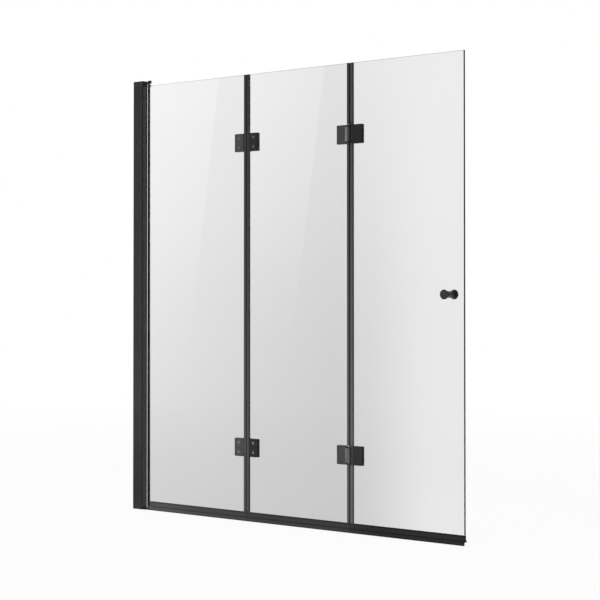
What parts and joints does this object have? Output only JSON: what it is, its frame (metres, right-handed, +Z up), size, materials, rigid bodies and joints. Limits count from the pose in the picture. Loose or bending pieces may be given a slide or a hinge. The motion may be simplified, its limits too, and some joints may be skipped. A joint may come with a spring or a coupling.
{
  "type": "folding bath screen",
  "caption": "Folding glass bath screen: black wall profile with a pivot, clear leaves joined by black hinges and edge seals, drip seals below, round knob near the free edge.",
  "frame": {"origin": "on the wall face of the wall profile, at its foot and in line with the middle of the glass", "axes": "+X from the wall along the closed screen to its free edge, +Y to the bath side, +Z up"},
  "size_m": [1.2975, 0.056, 1.4],
  "materials": {
    "black_profile": "satin black powder coat on extruded aluminium",
    "black_cap": "moulded, fine texture",
    "black_fitting": "satin black coat on brass or zinc castings",
    "clear_glass": "clear toughened, ground arris",
    "seal_rubber": "extruded black PVC, semi matt",
    "gasket_rubber": "matt",
    "bearing_plastic": "natural acetal",
    "clear_plastic": "clear PVC",
    "steel": "stainless"
  },
  "bodies": {
    "wall_frame": {"wall_channel": "black_profile", "adjust_profile": "black_profile", "adjust_screws": "steel", "top_cap": "black_cap", "bottom_cap": "black_cap", "cap_screws": "steel", "upper_bush": "bearing_plastic", "lower_bush": "bearing_plastic", "wall_seal": "seal_rubber", "wall_seal_bulb": "clear_plastic"},
    "leaf_1": {"pivot_post": "black_profile", "upper_pivot": "black_fitting", "lower_pivot": "black_fitting", "glass_1": "clear_glass", "seal_1_fold": "seal_rubber", "seal_1_bottom": "seal_rubber", "fold_1_lower_leaf_a": "black_fitting", "fold_1_upper_leaf_a": "black_fitting", "fold_1_lower_plate_a": "black_fitting", "fold_1_upper_plate_a": "black_fitting", "fold_1_gaskets_a": "gasket_rubber", "fold_1_screws_a": "steel", "fold_1_bushes": "bearing_plastic"},
    "leaf_2": {"fold_1_lower_pin": "steel", "fold_1_upper_pin": "steel", "glass_2": "clear_glass", "seal_2_wall_side": "seal_rubber", "seal_2_free_side": "seal_rubber", "seal_2_bottom": "seal_rubber", "fold_1_lower_leaf_b": "black_fitting", "fold_1_upper_leaf_b": "black_fitting", "fold_1_lower_plate_b": "black_fitting", "fold_1_upper_plate_b": "black_fitting", "fold_1_gaskets_b": "gasket_rubber", "fold_1_screws_b": "steel", "fold_2_lower_leaf_a": "black_fitting", "fold_2_upper_leaf_a": "black_fitting", "fold_2_lower_plate_a": "black_fitting", "fold_2_upper_plate_a": "black_fitting", "fold_2_gaskets_a": "gasket_rubber", "fold_2_screws_a": "steel", "fold_2_bushes": "bearing_plastic"},
    "leaf_3": {"fold_2_lower_pin": "steel", "fold_2_upper_pin": "steel", "glass_3": "clear_glass", "seal_3_fold": "seal_rubber", "seal_3_bottom": "seal_rubber", "fold_2_lower_leaf_b": "black_fitting", "fold_2_upper_leaf_b": "black_fitting", "fold_2_lower_plate_b": "black_fitting", "fold_2_upper_plate_b": "black_fitting", "fold_2_gaskets_b": "gasket_rubber", "fold_2_screws_b": "steel", "knob_front": "black_fitting", "knob_rear": "black_fitting", "knob_stud": "steel", "knob_washers": "clear_plastic"}
  },
  "joints": [
    {"name": "wall_pivot", "type": "hinge", "parent": "wall_frame", "child": "leaf_1", "pos_m": [0.0595, 0, 0.7], "axis": [0, 0, 1], "range_deg": [-90, 0]},
    {"name": "fold_1", "type": "hinge", "parent": "leaf_1", "child": "leaf_2", "pos_m": [0.4885, 0.0104, 0.7], "axis": [0, 0, 1], "range_deg": [0, 175]},
    {"name": "fold_2", "type": "hinge", "parent": "leaf_2", "child": "leaf_3", "pos_m": [0.8945, -0.0104, 0.7], "axis": [0, 0, 1], "range_deg": [-175, 0]}
  ]
}
